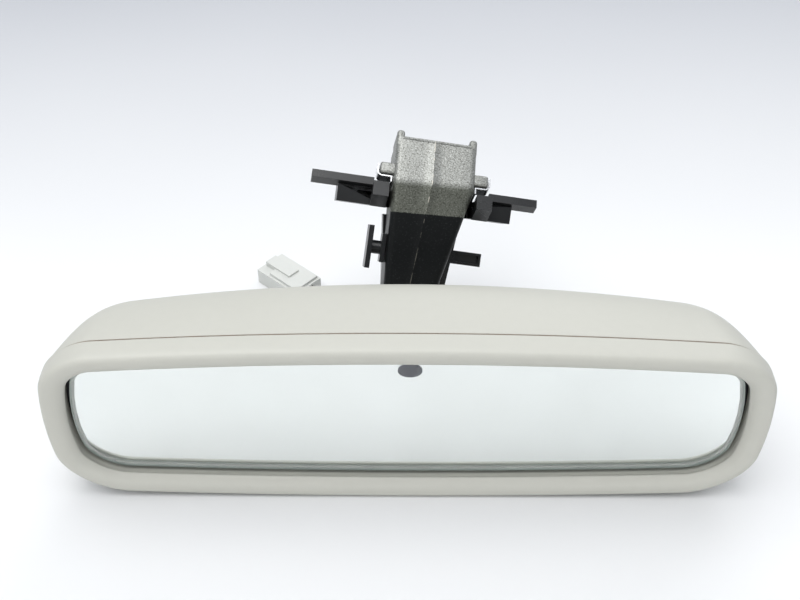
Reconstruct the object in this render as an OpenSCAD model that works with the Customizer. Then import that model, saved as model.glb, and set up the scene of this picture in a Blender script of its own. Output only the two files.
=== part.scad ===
// Interior rearview mirror with self-dimming glass, standing on its lower edge.
// The head faces -Y. The arm leans back from a ball joint behind the head.

/* [Head] */
// Overall width of the head
head_w = 252.6; // [248:0.2:258]
// Overall height of the head
head_h = 75.6; // [74:0.2:78]
// Depth of the front bezel
bezel_d = 9.2; // [9:0.1:9.6]
// Depth of the rear housing behind the bezel
housing_d = 36; // [35:0.5:38]
// Width of the bezel rim seen from the front
rim_w = 8.3; // [8:0.1:8.8]
// Wall thickness of the casings
wall_t = 2.2; // [2:0.1:2.4]

/* [Head outline] */
// Radius of the two upper corners
top_r = 17; // [15:0.5:19]
// Radius of the two lower corners
bottom_r = 22; // [20:0.5:24]
// Fall of the top edge from the middle to the ends
top_crown = 5.3; // [4.5:0.1:6]
// Rise of the bottom edge from the middle to the ends
bottom_crown = 3.2; // [2.5:0.1:4]
// Inward lean of the ends at their upper corners
end_lean = 4.4; // [3.5:0.1:5]
// Narrowing of each end towards the back
end_taper = 15; // [13:0.5:17]
// Extra fall of the top edge at the back of the housing
back_crown = 10.4; // [9:0.2:12]

/* [Mirror glass] */
// Distance of the glass behind the front of the bezel
glass_y = 5.2; // [5:0.1:5.4]
// Thickness of each glass pane
glass_t = 1.9; // [1.8:0.1:2]
// Thickness of the dimming gel between the panes
gel_t = 0.3; // [0.2:0.05:0.4]
// Width of the oval sensor window
window_w = 8.4; // [7.5:0.1:9]
// Height of the oval sensor window
window_h = 6.2; // [5.5:0.1:6.8]

/* [Ball joint] */
// Radius of the ball
ball_r = 8.5; // [8.4:0.1:8.6]
// Distance of the ball's centre behind the front of the bezel
ball_y = 38; // [37.5:0.5:38.5]
// Height of the ball's centre
ball_z = 37; // [36.5:0.5:37.5]
// Radius of the stud's neck
neck_r = 4.2; // [4:0.1:4.4]
// Upward slope of the stud in degrees
stud_slope = 10; // [9:0.5:11]
// Sideways turn of the whole mount in degrees
mount_roll = 9.7; // [8.5:0.1:10.5]

/* [Arm and foot] */
// Length of the arm from the stud to the bend
arm_len = 47; // [46:0.5:48]
// Slope of the arm in degrees
arm_slope = 52; // [51:0.5:53]
// Slope of the foot in degrees
foot_slope = 26; // [25:0.5:27]
// Width of the foot
foot_w = 31.2; // [31:0.1:31.6]
// Length of the foot's face
foot_len = 19; // [18.5:0.5:20]
// Depth of the foot
foot_d = 17; // [16.5:0.5:17.5]
// Height of the locking lugs on the foot
lug_h = 4.5; // [4.2:0.1:4.8]
// Depth of the locking lugs on the foot
lug_d = 7; // [6.6:0.1:7.2]

/* [Bracket and cover] */
// Overall width of the black wings
wings_w = 87.2; // [86:0.2:88]
// Height of the wings
wing_h = 3.2; // [3:0.1:3.4]
// Depth of the wings
wing_d = 5; // [4.6:0.1:5.2]

/* [Lead] */
// Diameter of the lead
lead_d = 3.4; // [3.2:0.1:3.6]
// Length of the connector on the lead
plug_len = 25; // [24:0.5:26]
// Width of the connector on the lead
plug_w = 15; // [14:0.5:15.5]

/* [Hidden] */

// The front of the bezel lies at this y, which centres the object on the origin.
front_y = -54.4;
mid_z = 36;
housing_y = bezel_d + 0.3;
shell_step = 0.6;
arc_n = 6;
edge_n = 14;
side_n = 4;
half_w = head_w / 2;
gel_y = glass_y + glass_t;
mirror_y = gel_y + gel_t;
foam_y = mirror_y + glass_t;
carrier_y = foam_y + 1.1;
carrier_t = 1.8;
board_y = 17;
board_t = 1.6;
board_back = board_y + board_t;
plate_t = 2;
plate_y = ball_y - plate_t;
window_z = 60.6;
window_x = 0.9;
liner_r = 10.25;
socket_r = 10.3;
ring_r = 8.95;
liner_bore_r = 9;
stud_len = 24;
bore_r = 3.55;
arm_d = 15;
arm_front = 8;
web_t = 2.6;
foot_x = 2.6;
bend = arm_slope - foot_slope;
horn = 2.2;
lug_len = 5.2;
lug_z = 2.5;
lug_y = 1.5;
socket_hole_r = 13;
grommet_hole_r = 3.4;
pipe_hole_r = 3.6;
hole_deep = 20;
boss_at = [for (x = [-16, 16], z = [-14, 14]) [x, z]];
board_holes = [for (x = [-68, 68], z = [-14, 14]) [x, z]];
grommet_at = [-34, 24];
pipe_at = [30, 50];
plug_at = [-52, 64.1, 0];
plug_turn = -42;

// Route of the lead from the grommet to the connector, on the table from its eighth point.
lead_route = [
    [-34, -2.4, 24], [-34, 1.6, 23.6], [-33.8, 6.6, 21.5], [-33, 11.1, 17], [-31.5, 14.6, 11],
    [-29, 18.1, 5.5], [-25, 22.1, 2.4], [-19, 26.1, 1.8], [-11, 29.1, 1.8], [-2, 30.1, 1.8],
    [7, 29.1, 1.8], [15, 27.1, 1.8], [22.5, 28.1, 1.8], [27, 33.6, 1.8], [27, 40.6, 1.8],
    [22, 46.1, 1.8], [14, 48.1, 1.8], [5, 47.1, 1.8], [-4, 44.6, 1.8], [-13, 42.6, 1.8],
    [-22, 42.6, 1.8], [-30, 45.4, 1.9], [-37, 50.5, 2.8], [-44.1, 57, 4]];

// ---- Outline of the head ----

function last(v) = v[len(v) - 1];

function corner(cx, cz, r, start) = [for (j = [0:arc_n])
    [cx + r * cos(start + 90 * j / arc_n), cz + r * sin(start + 90 * j / arc_n)]];

function between(p, q, n) = [for (j = [1:n - 1]) p + (q - p) * j / n];

// A rectangle with round corners, anticlockwise from the right end of its upper right corner.
function rounded(a, top, bottom, rt, rb) = let (
    c1 = corner(a - rt, top - rt, rt, 0),
    c2 = corner(-a + rt, top - rt, rt, 90),
    c3 = corner(-a + rb, bottom + rb, rb, 180),
    c4 = corner(a - rb, bottom + rb, rb, 270))
    concat(c1, between(last(c1), c2[0], edge_n), c2, between(last(c2), c3[0], side_n),
        c3, between(last(c3), c4[0], edge_n), c4, between(last(c4), c1[0], side_n));

// Crowns the long edges and leans the ends in, both in proportion to the height off the middle.
function crowned(p, top, bottom, kt, kb) = let (
    up = p[1] >= mid_z,
    s = up ? (p[1] - mid_z) / (top - mid_z) : (mid_z - p[1]) / (mid_z - bottom),
    x = p[0] * (1 - end_lean / half_w * s * s))
    [x, up ? p[1] - kt * p[0] * p[0] * s : p[1] + kb * p[0] * p[0] * s];

function crown_of(rise) = rise / half_w / half_w;

// Outline of the head, moved inwards by the inset.
function rim(inset) = let (top = head_h - inset)
    [for (p = rounded(half_w - inset, top, inset, max(top_r - inset, 2), max(bottom_r - inset, 2)))
        crowned(p, top, inset, crown_of(top_crown), crown_of(bottom_crown))];

// Fullness of a section at the fraction t of the depth: 1 in front and 0 at the very back.
function full(t, p) = pow(1 - pow(t, p), 1 / p);

// Outline of the housing at the fraction t of its depth, moved inwards by the inset.
function shell_ring(t, inset) = let (
    a = (half_w - shell_step - end_taper * t) * full(t, 6) - inset,
    top = head_h / 2 + (head_h / 2 - 0.2) * full(t, 4.3) - inset,
    bottom = head_h / 2 - head_h / 2 * full(t, 8) + inset,
    rt = top_r * (1 - 0.6 * t) - inset,
    rb = bottom_r * (1 - 0.4 * t) - inset)
    [for (p = rounded(a, top, bottom, rt, rb))
        crowned(p, top, bottom, crown_of(top_crown + back_crown * pow(t, 1.5)), crown_of(bottom_crown))];

// ---- Solids from rings and profiles ----

// Skins a stack of rings [outline, y]. A closed stack joins its last ring to its first.
module ring_loft(stack, closed = false) {
    n = len(stack[0][0]);
    m = len(stack);
    points = [for (r = stack) for (p = r[0]) [p[0], r[1], p[1]]];
    bands = [for (i = [0:(closed ? m - 1 : m - 2)]) for (j = [0:n - 1])
        let (k = (j + 1) % n, o = (i + 1) % m) [i * n + j, o * n + j, o * n + k, i * n + k]];
    caps = closed ? [] : [[for (j = [0:n - 1]) j], [for (j = [n - 1:-1:0]) (m - 1) * n + j]];
    polyhedron(points, concat(bands, caps), convexity = 8);
}

// A flat slab whose outline stands in the XZ plane, from y to y + thick.
module slab(y, thick) {
    translate([0, y + thick, 0]) rotate([90, 0, 0]) linear_extrude(thick) children();
}

module oval(w, h) {
    translate([window_x, window_z]) scale([w / h, 1]) circle(d = h, $fn = 48);
}

// A cylinder along +Y from y to y + length.
module rod_y(x, y, z, r, length) {
    translate([x, y, z]) rotate([-90, 0, 0]) cylinder(r = r, h = length, $fn = 32);
}

// Places what belongs to the head.
module in_head() {
    translate([0, front_y, 0]) children();
}

// Origin at the ball's centre, +Z pointing out of the back of the head.
module at_ball() {
    in_head() translate([0, ball_y, ball_z]) rotate([-90, 0, 0]) children();
}

// Origin at the ball's centre, +Z along the stud.
module on_stud() {
    in_head() translate([0, ball_y, ball_z]) rotate([0, mount_roll, 0])
        rotate([-(90 - stud_slope), 0, 0]) children();
}

// Origin where the stud meets the arm, +Z up the arm and +Y towards its open back.
module on_arm() {
    in_head() translate([0, ball_y, ball_z]) rotate([0, mount_roll, 0])
        translate([0, stud_len * cos(stud_slope), stud_len * sin(stud_slope)])
        rotate([-(90 - arm_slope), 0, 0]) children();
}

// Origin at the bend on the arm's front face, +Z up the foot and +Y into its depth.
module on_foot() {
    on_arm() translate([foot_x, -arm_front, arm_len]) rotate([-bend, 0, 0]) children();
}

// ---- Casings ----

bezel_profile = [[0.3, bezel_d], [0, bezel_d - 0.6], [0, 3], [0.25, 1.4], [0.9, 0.45], [1.9, 0],
    [5, 1.1], [rim_w - 0.9, 2.1], [rim_w - 0.3, 2.5], [rim_w, 3.2], [rim_w + 0.1, carrier_y - 0.3],
    [rim_w - 2, carrier_y - 0.3], [rim_w - 2, 4.8], [wall_t + 0.2, 4.2], [wall_t + 0.2, bezel_d]];

module front_bezel() {
    color([0.82, 0.80, 0.76]) in_head()
        ring_loft([for (q = bezel_profile) [rim(q[0]), q[1]]], true);
}

outer_steps = [0, 0.12, 0.25, 0.4, 0.52, 0.62, 0.7, 0.77, 0.83, 0.88, 0.92, 0.955, 0.985];
inner_steps = [0.985, 0.95, 0.9, 0.84, 0.76, 0.65, 0.5, 0.3, 0.04];
tongue_in = wall_t + 2.4;
tongue_out = wall_t + 0.6;
// Depth of the flat inner face at the back of the housing.
inner_back = housing_y + inner_steps[0] * (housing_d - wall_t);

module rear_housing() {
    inside = [for (t = inner_steps) [shell_ring(t, wall_t), housing_y + t * (housing_d - wall_t)]];
    tongue = [[rim(tongue_in), housing_y + 1.4], [rim(tongue_in), bezel_d - 3],
        [rim(tongue_out), bezel_d - 3], [rim(tongue_out), housing_y]];
    outside = [for (t = outer_steps) [shell_ring(t, 0), housing_y + t * housing_d]];
    color([0.80, 0.78, 0.73]) in_head() difference() {
        ring_loft(concat(inside, tongue, outside));
        rod_y(0, ball_y + 1, ball_z, socket_hole_r, hole_deep);
        rod_y(grommet_at[0], ball_y + 1, grommet_at[1], grommet_hole_r, hole_deep);
        rod_y(pipe_at[0], ball_y + 1, pipe_at[1], pipe_hole_r, hole_deep);
    }
}

// ---- Dimming glass ----

module front_glass() {
    color([0.90, 0.95, 0.93]) in_head() slab(glass_y, glass_t) polygon(rim(rim_w + 0.9));
}

module gel_layer() {
    color([0.75, 0.85, 0.80]) in_head() slab(gel_y, gel_t) difference() {
        polygon(rim(rim_w + 2.2));
        oval(window_w, window_h);
    }
}

module perimeter_seal() {
    color([0.20, 0.20, 0.20]) in_head() slab(gel_y, gel_t) difference() {
        polygon(rim(rim_w + 1.1));
        polygon(rim(rim_w + 2.2));
    }
}

module rear_mirror_glass() {
    color([0.85, 0.87, 0.87]) in_head() slab(mirror_y, glass_t) polygon(rim(rim_w + 1.1));
}

module sensor_window() {
    color([0.22, 0.24, 0.30]) in_head() slab(gel_y, gel_t) oval(window_w - 0.1, window_h - 0.1);
}

module contact_clips() {
    strip_w = 190;
    color([0.75, 0.65, 0.40]) in_head() slab(foam_y + 0.05, 0.3) intersection() {
        difference() {
            polygon(rim(rim_w + 1.6));
            polygon(rim(rim_w + 4));
        }
        translate([-strip_w / 2, 0]) square([strip_w, head_h]);
    }
}

module foam_pad() {
    color([0.25, 0.25, 0.26]) in_head() slab(foam_y, 1.1) difference() {
        polygon(rim(rim_w + 5));
        oval(window_w + 4, window_h + 4);
    }
}

// ---- Inner structure ----

module glass_carrier() {
    color([0.16, 0.16, 0.17]) in_head() difference() {
        union() {
            slab(carrier_y, carrier_t) polygon(rim(5));
            for (b = boss_at)
                rod_y(b[0], carrier_y, ball_z + b[1], 3.6, plate_y - carrier_y);
            for (b = board_holes)
                rod_y(b[0], carrier_y, ball_z + b[1], 3, board_y - carrier_y);
            for (s = [-1, 1])
                translate([s * 95 - 0.9, carrier_y, 20]) cube([1.8, 12, 34]);
        }
        for (b = boss_at)
            rod_y(b[0], plate_y - 12, ball_z + b[1], 1.35, 13);
        for (b = board_holes)
            rod_y(b[0], board_y - 4, ball_z + b[1], 1.05, 5);
        slab(carrier_y - 1, carrier_t + 2) oval(window_w, window_h);
    }
}

module circuit_board() {
    color([0.10, 0.35, 0.20]) in_head() difference() {
        translate([-74, board_y, 17]) cube([148, board_t, 48.5]);
        for (b = boss_at)
            rod_y(b[0], board_y - 1, ball_z + b[1], 4, 4);
        for (b = board_holes)
            rod_y(b[0], board_y - 1, ball_z + b[1], 1.3, 4);
    }
}

module controller_chip() {
    chip = 10;
    color([0.08, 0.08, 0.09]) in_head() translate([44, board_back, 30]) {
        translate([0, 0.15, 0]) cube([chip, 1.4, chip]);
        for (i = [0:7]) {
            translate([0.7 + i * 1.2, 0, -1]) cube([0.45, 0.3, chip + 2]);
            translate([-1, 0, 0.7 + i * 1.2]) cube([chip + 2, 0.3, 0.45]);
        }
    }
}

module capacitors() {
    color([0.70, 0.71, 0.73]) in_head() for (p = [[-58, 30], [-58, 42], [62, 26]])
        rod_y(p[0], board_back, p[1], 3.1, 7.5);
}

module glare_sensor() {
    color([0.12, 0.12, 0.14]) in_head() union() {
        translate([window_x - 2.5, board_y - 1.6, window_z - 2]) cube([5, 1.6, 4]);
        rod_y(window_x, board_y - 3, window_z, 1.4, 1.5);
    }
}

module ambient_sensor() {
    color([0.12, 0.12, 0.14]) in_head()
        translate([pipe_at[0] - 2.5, board_back, pipe_at[1] - 2]) cube([5, 1.6, 4]);
}

module light_pipe() {
    pipe_end = housing_y + housing_d + 0.2;
    color([0.55, 0.58, 0.62]) in_head() union() {
        rod_y(pipe_at[0], board_back + 2, pipe_at[1], 2.2, pipe_end - board_back - 2);
        rod_y(pipe_at[0], inner_back - 1.9, pipe_at[1], 4.6, 1.8);
        rod_y(pipe_at[0], inner_back - 0.2, pipe_at[1], pipe_hole_r - 0.1, pipe_end - inner_back + 0.2);
    }
}

module board_header() {
    color([0.90, 0.88, 0.80]) in_head() difference() {
        translate([-42, board_back, 20]) cube([16, 7, 7.5]);
        translate([-41, board_back + 1, 21]) cube([14, 7, 5.5]);
    }
}

module board_plug() {
    color([0.92, 0.91, 0.86]) in_head()
        translate([-40.9, board_back + 1.1, 21.1]) cube([13.8, 9, 5.3]);
}

module inner_lead() {
    color([0.08, 0.08, 0.09]) in_head()
        rod_y(grommet_at[0], board_back + 10.2, grommet_at[1], 1.6, 14.4);
}

module screw_y(x, y, z, r, length, head_r, head_t) {
    rod_y(x, y - length, z, r, length);
    difference() {
        rod_y(x, y, z, head_r, head_t);
        translate([x, y + head_t - 1, z]) rotate([-90, 0, 0]) cylinder(r = head_r * 0.5, h = 2, $fn = 6);
    }
}

module board_screws() {
    color([0.62, 0.63, 0.65]) in_head() for (b = board_holes)
        screw_y(b[0], board_back + 0.05, ball_z + b[1], 1, board_t + 3, 2.2, 1.6);
}

// ---- Ball joint ----

module plate_outline(thick) {
    linear_extrude(thick) difference() {
        square([44, 38], center = true);
        for (b = boss_at)
            translate([b[0], -b[1]]) circle(r = 1.7, $fn = 24);
    }
}

module socket_plate() {
    color([0.60, 0.61, 0.63]) at_ball() difference() {
        union() {
            translate([0, 0, -plate_t]) plate_outline(plate_t);
            sphere(r = 12.2, $fn = 64);
        }
        sphere(r = socket_r, $fn = 64);
        cylinder(r = 30, h = 30, $fn = 32);
        translate([0, 0, -20]) cylinder(r = 3.5, h = 12, $fn = 32);
    }
}

clamp_lip = 5.4;

module socket_clamp() {
    color([0.66, 0.67, 0.69]) at_ball() difference() {
        union() {
            translate([0, 0, 0.2]) plate_outline(1.6);
            sphere(r = 12.2, $fn = 64);
        }
        sphere(r = socket_r, $fn = 64);
        translate([0, 0, clamp_lip]) cylinder(r = 30, h = 30, $fn = 32);
        translate([0, 0, 0.2 - 30]) cylinder(r = 31, h = 30, $fn = 32);
    }
}

module clamp_washers() {
    color([0.50, 0.51, 0.53]) in_head() for (b = boss_at) difference() {
        rod_y(b[0], ball_y + 1.85, ball_z + b[1], 3.1, 0.7);
        rod_y(b[0], ball_y + 1, ball_z + b[1], 1.7, 2);
    }
}

module socket_screws() {
    color([0.72, 0.73, 0.75]) in_head() for (b = boss_at)
        screw_y(b[0], ball_y + 2.6, ball_z + b[1], 1.3, 13, 2.8, 1.6);
}

// A spherical shell cut flat at both ends.
module ball_band(outer, inner, low, high) {
    difference() {
        sphere(r = outer, $fn = 64);
        sphere(r = inner, $fn = 64);
        translate([0, 0, high]) cylinder(r = 20, h = 20, $fn = 32);
        translate([0, 0, low - 20]) cylinder(r = 20, h = 20, $fn = 32);
    }
}

module socket_liner() {
    color([0.93, 0.92, 0.88]) at_ball() ball_band(liner_r, liner_bore_r, -7.5, 5);
}

module friction_ring() {
    color([0.45, 0.46, 0.48]) at_ball() ball_band(ring_r, ball_r + 0.05, -4.5, 4.4);
}

module ball_stud() {
    color([0.74, 0.75, 0.77]) on_stud() union() {
        sphere(r = ball_r, $fn = 64);
        cylinder(r = neck_r, h = stud_len - 8, $fn = 48);
        cylinder(r = bore_r - 0.05, h = stud_len + 8, $fn = 48);
    }
}

module stud_nut() {
    color([0.68, 0.69, 0.71]) on_stud() translate([0, 0, stud_len + 3.2]) difference() {
        cylinder(r = 6.4, h = 4, $fn = 6);
        translate([0, 0, -1]) cylinder(r = bore_r + 0.05, h = 7, $fn = 48);
    }
}

// ---- Cast arm and foot ----

arm_root_l = 11;
arm_root_r = 7.6;
// Spread of each flank per millimetre of height. Both flanks end this far inside the foot's sides.
arm_inside = 0.1;
arm_flare_l = (foot_w / 2 - foot_x - arm_inside - arm_root_l) / arm_len;
arm_flare_r = (foot_w / 2 + foot_x - arm_inside - arm_root_r) / arm_len;
cover_screw_z = [22, 30];
cover_boss_r = 3.4;
pilot_r = 1.45;

function flank_l(h) = -arm_root_l - arm_flare_l * h;

function flank_r(h) = arm_root_r + arm_flare_r * h;

// Front outline of the arm: a half-round lower end, then two straight flanks that spread upwards.
arm_outline = let (mid = (arm_root_r - arm_root_l) / 2, half = (arm_root_r + arm_root_l) / 2) concat(
    [[flank_r(arm_len), arm_len], [flank_l(arm_len), arm_len]],
    [for (a = [180:15:360]) [mid + half * cos(a), half * sin(a)]]);

// A slab in the arm's own plane, from y to y + thick.
module arm_slab(y, thick) {
    translate([0, y + thick, 0]) rotate([90, 0, 0]) linear_extrude(thick) children();
}

module arm_body() {
    low = 8;
    on_arm() difference() {
        arm_slab(-arm_front, arm_d) polygon(arm_outline);
        difference() {
            arm_slab(web_t - arm_front, arm_d) polygon([
                [flank_l(low) + web_t, low], [flank_r(low) - web_t, low],
                [flank_r(arm_len) - web_t, arm_len + 1], [flank_l(arm_len) + web_t, arm_len + 1]]);
            for (z = cover_screw_z)
                translate([0, -arm_front, z]) rotate([-90, 0, 0])
                    cylinder(r = cover_boss_r, h = arm_d, $fn = 32);
        }
        for (z = cover_screw_z)
            translate([0, 0, z]) rotate([-90, 0, 0]) cylinder(r = pilot_r, h = arm_d, $fn = 24);
    }
}

module foot_body() {
    on_foot() difference() {
        union() {
            translate([-foot_w / 2, 0, -4]) cube([foot_w, foot_d, foot_len + 4]);
            for (s = [-1, 1])
                translate([s * (foot_w / 2 - 1.5) - 1.5, 0, 0]) cube([3, foot_d - 4, foot_len + horn]);
        }
        translate([-foot_w / 2 + 3, 3, -10]) cube([foot_w - 6, foot_d - 6, foot_len + 7]);
        rotate([bend, 0, 0]) translate([-30, -20, -20]) cube([60, 20, 20]);
    }
}

module foot_lugs() {
    span = foot_w + 2 * lug_len;
    on_foot() translate([-span / 2, lug_y, lug_z]) difference() {
        cube([span, lug_d, lug_h]);
        translate([lug_len + 2, -1, -1]) cube([foot_w - 4, lug_d + 2, lug_h + 2]);
    }
}

module mount_arm() {
    color([0.45, 0.46, 0.44]) difference() {
        union() {
            arm_body();
            foot_body();
            foot_lugs();
            on_stud() translate([0, 0, stud_len - 7.5]) cylinder(r = 8.2, h = 10.4, $fn = 48);
        }
        on_stud() translate([0, 0, stud_len - 27.5]) cylinder(r = 24, h = 20, $fn = 48);
        on_stud() translate([0, 0, stud_len - 20]) cylinder(r = bore_r, h = 40, $fn = 48);
        on_stud() translate([0, 0, stud_len + 3]) cylinder(r = 7.6, h = 14, $fn = 48);
    }
}

spring_t = 0.6;
spring_w = 5;

module retaining_spring() {
    low_z = lug_z - 1.2;
    near_y = lug_y + 1;
    far_y = foot_d + 0.25;
    side_x = foot_w / 2 + 0.3;
    hook_x = foot_w / 2 + lug_len + 0.4 + spring_t;
    curl = 2;
    strap_drop = 2;
    color([0.85, 0.86, 0.87]) on_foot() union() {
        for (s = [-1, 1]) scale([s, 1, 1]) {
            translate([side_x, near_y, low_z]) cube([hook_x - curl - side_x, spring_w, spring_t]);
            translate([hook_x - curl, near_y, low_z + curl]) rotate([-90, 0, 0])
                linear_extrude(spring_w) polygon(concat(
                    [for (a = [0:10:90]) [curl * cos(a), curl * sin(a)]],
                    [for (a = [90:-10:0]) [(curl - spring_t) * cos(a), (curl - spring_t) * sin(a)]]));
            translate([hook_x - spring_t, near_y, low_z + curl]) cube([spring_t, spring_w, 3]);
            translate([side_x, near_y, low_z - strap_drop])
                cube([spring_t, far_y - near_y, strap_drop + spring_t]);
        }
        translate([-side_x - spring_t, far_y, low_z - strap_drop])
            cube([2 * (side_x + spring_t), spring_t, strap_drop + spring_t]);
    }
}

// ---- Black plastic parts on the mount ----

wing_z = -1.1;
wing_y = 6.2;
wing_mid = -2.4;
wing_in = foot_w / 2 + lug_len + 1.5;
tab_w = 6;
tab_z = -7.6;
tab_h = 6;
box_l = -33;
box_r = 34.4;
box_z = 35.6;
box_h = 6.6;
box_y = -1.5;
box_back = 14.5;
// Room left round the arm, the foot and the spring's strap behind the foot.
arm_room = 0.6;
foot_room = 1.1;
strap_room = 1.5;
back_room = 2.6;

// Wings and collar tabs, in the foot's own frame.
module bracket_wings() {
    for (s = [-1, 1]) {
        reach = s * wings_w / 2 + wing_mid;
        translate([min(reach, s * wing_in), wing_y, wing_z])
            cube([abs(reach - s * wing_in), wing_d, wing_h]);
        translate([s * (wing_in - 2.5) - tab_w / 2, lug_y, tab_z])
            cube([tab_w, wing_y + wing_d - lug_y, tab_h]);
    }
}

module wing_bracket() {
    slot_w = 8;
    far = 40;
    arm_w = flank_r(arm_len) - flank_l(arm_len);
    color([0.10, 0.10, 0.11]) difference() {
        union() {
            on_foot() bracket_wings();
            on_arm() translate([box_l, box_y, box_z]) cube([box_r - box_l, box_back - box_y, box_h]);
        }
        on_arm() for (x = [box_l + 7.5, box_r - slot_w - 7.5])
            translate([x, box_y - 1, box_z + 3.9]) cube([slot_w, 4, 1.1]);
        on_arm() translate([flank_l(arm_len) - arm_room, -far, box_z - 20])
            cube([arm_w + 2 * arm_room, far + arm_d - arm_front + back_room, 30]);
        on_foot() translate([-foot_w / 2 - foot_room, -far, -12])
            cube([foot_w + 2 * foot_room, far + foot_d + strap_room, 40]);
    }
}

cover_y = arm_d - arm_front + 0.3;
cover_low = 5;
cover_high = 33;
cover_t = 6;

// Left and right edge of the cover at its lower and its upper end.
cover_l = [-10.6, -13.8];
cover_r = [13.7, 16.6];

// Outline of the cover, moved inwards by the inset.
function cover_outline(inset) = [
    [cover_l[0] + inset, cover_low + inset], [cover_r[0] - inset, cover_low + inset],
    [cover_r[1] - inset, cover_high - inset], [cover_l[1] + inset, cover_high - inset]];

module cable_cover() {
    peg = [12.5, 4.4, 5.2];
    color([0.09, 0.09, 0.10]) on_arm() union() {
        difference() {
            arm_slab(cover_y, cover_t) polygon(cover_outline(0));
            arm_slab(cover_y - 2, cover_t) polygon(cover_outline(2));
            for (z = cover_screw_z)
                translate([0, cover_y - 1, z]) rotate([-90, 0, 0])
                    cylinder(r = 1.7, h = cover_t + 2, $fn = 24);
        }
        translate([14.5, cover_y + 1, 17.4]) difference() {
            cube(peg);
            translate([2, -1, 1]) cube([peg[0] - 3, 3, peg[2] - 2]);
        }
    }
}

module cover_screws() {
    color([0.60, 0.61, 0.63]) on_arm() for (z = cover_screw_z) {
        translate([0, 1.5, z]) rotate([-90, 0, 0])
            cylinder(r = pilot_r - 0.05, h = cover_y + cover_t - 1.4, $fn = 24);
        translate([0, cover_y + cover_t + 0.05, z]) rotate([-90, 0, 0])
            cylinder(r = 2.9, h = 1.7, $fn = 24);
    }
}

clip_z = 20;

module cable_clip() {
    arm_x = flank_l(clip_z + 5.5) - 0.05;
    color([0.09, 0.09, 0.10]) on_arm() union() {
        translate([arm_x - 5.6, 0, clip_z]) rotate([0, 90, 0]) cylinder(r = 2.6, h = 5, $fn = 32);
        translate([arm_x - 1.8, -3.6, clip_z - 5.5]) cube([1.8, 7.2, 11]);
        translate([arm_x - 7.2, -5, clip_z - 8.2]) cube([1.9, 10, 16.4]);
    }
}

// ---- Lead and connector ----

module lead_grommet() {
    y = housing_y + housing_d;
    neck = grommet_hole_r - 0.1;
    color([0.10, 0.10, 0.11]) in_head() translate([grommet_at[0], y, grommet_at[1]])
        rotate([-90, 0, 0]) rotate_extrude($fn = 48) polygon([
            [lead_d / 2 + 0.05, -wall_t - 2.2], [4.6, -wall_t - 2.2], [4.6, inner_back - y - 0.15],
            [neck, inner_back - y - 0.15], [neck, 0.3], [4.8, 0.3], [4.6, 1.8], [3, 2.6],
            [2.3, 6.4], [lead_d / 2 + 0.05, 6.4]]);
}

function unit(v) = v / norm(v);

// Ring of points round the route's point i, square to the route there.
function lead_ring(i, sides) = let (
    n = len(lead_route),
    along = unit(lead_route[min(i + 1, n - 1)] - lead_route[max(i - 1, 0)]),
    side = unit(cross(along, [0, 0, 1])),
    up = cross(side, along))
    [for (j = [0:sides - 1]) let (a = 360 * j / sides)
        lead_route[i] + lead_d / 2 * (cos(a) * side + sin(a) * up)];

module lead() {
    sides = 8;
    n = len(lead_route);
    points = [for (i = [0:n - 1]) each lead_ring(i, sides)];
    bands = [for (i = [0:n - 2]) for (j = [0:sides - 1]) let (k = (j + 1) % sides)
        [i * sides + j, i * sides + k, (i + 1) * sides + k, (i + 1) * sides + j]];
    ends = [[for (j = [sides - 1:-1:0]) j], [for (j = [0:sides - 1]) (n - 1) * sides + j]];
    color([0.07, 0.07, 0.08]) polyhedron(points, concat(bands, ends));
}

// Origin under the connector's middle, +X towards the lead.
module at_plug() {
    translate([plug_at[0], plug_at[1], 0.2]) rotate([0, 0, plug_turn]) children();
}

plug_h = 8.6;

module connector_housing() {
    color([0.93, 0.93, 0.89]) at_plug() difference() {
        union() {
            translate([-plug_len / 2, -plug_w / 2, 0]) cube([plug_len, plug_w, plug_h - 1.4]);
            translate([-plug_len / 2 + 7, -plug_w / 2 + 1, 0]) cube([plug_len - 8, plug_w - 2, plug_h]);
            translate([-plug_len / 2 + 1, -3, plug_h - 2]) cube([15, 6, 3]);
            for (s = [-1, 1])
                translate([plug_len / 2 - 6, s * plug_w / 2 - 0.8, 1]) cube([5, 1.6, 5]);
        }
        for (i = [-2:2], z = [1.2, 4.4])
            translate([-plug_len / 2 - 1, i * 2.6 - 0.8, z]) cube([9, 1.6, 1.8]);
        translate([plug_len / 2 - 2.4, -2.6, 1.6]) cube([4, 5.2, 4.8]);
    }
}

module connector_terminals() {
    color([0.80, 0.72, 0.45]) at_plug() for (i = [-2:2], z = [1.5, 4.7])
        translate([-plug_len / 2 + 1.5, i * 2.6 - 0.5, z]) cube([6.4, 1, 1.2]);
}

front_bezel();
rear_housing();
front_glass();
gel_layer();
perimeter_seal();
rear_mirror_glass();
sensor_window();
contact_clips();
foam_pad();
glass_carrier();
circuit_board();
controller_chip();
capacitors();
glare_sensor();
ambient_sensor();
light_pipe();
board_header();
board_plug();
inner_lead();
board_screws();
socket_plate();
socket_clamp();
clamp_washers();
socket_screws();
socket_liner();
friction_ring();
ball_stud();
stud_nut();
mount_arm();
retaining_spring();
wing_bracket();
cable_cover();
cover_screws();
cable_clip();
lead_grommet();
lead();
connector_housing();
connector_terminals();
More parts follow.
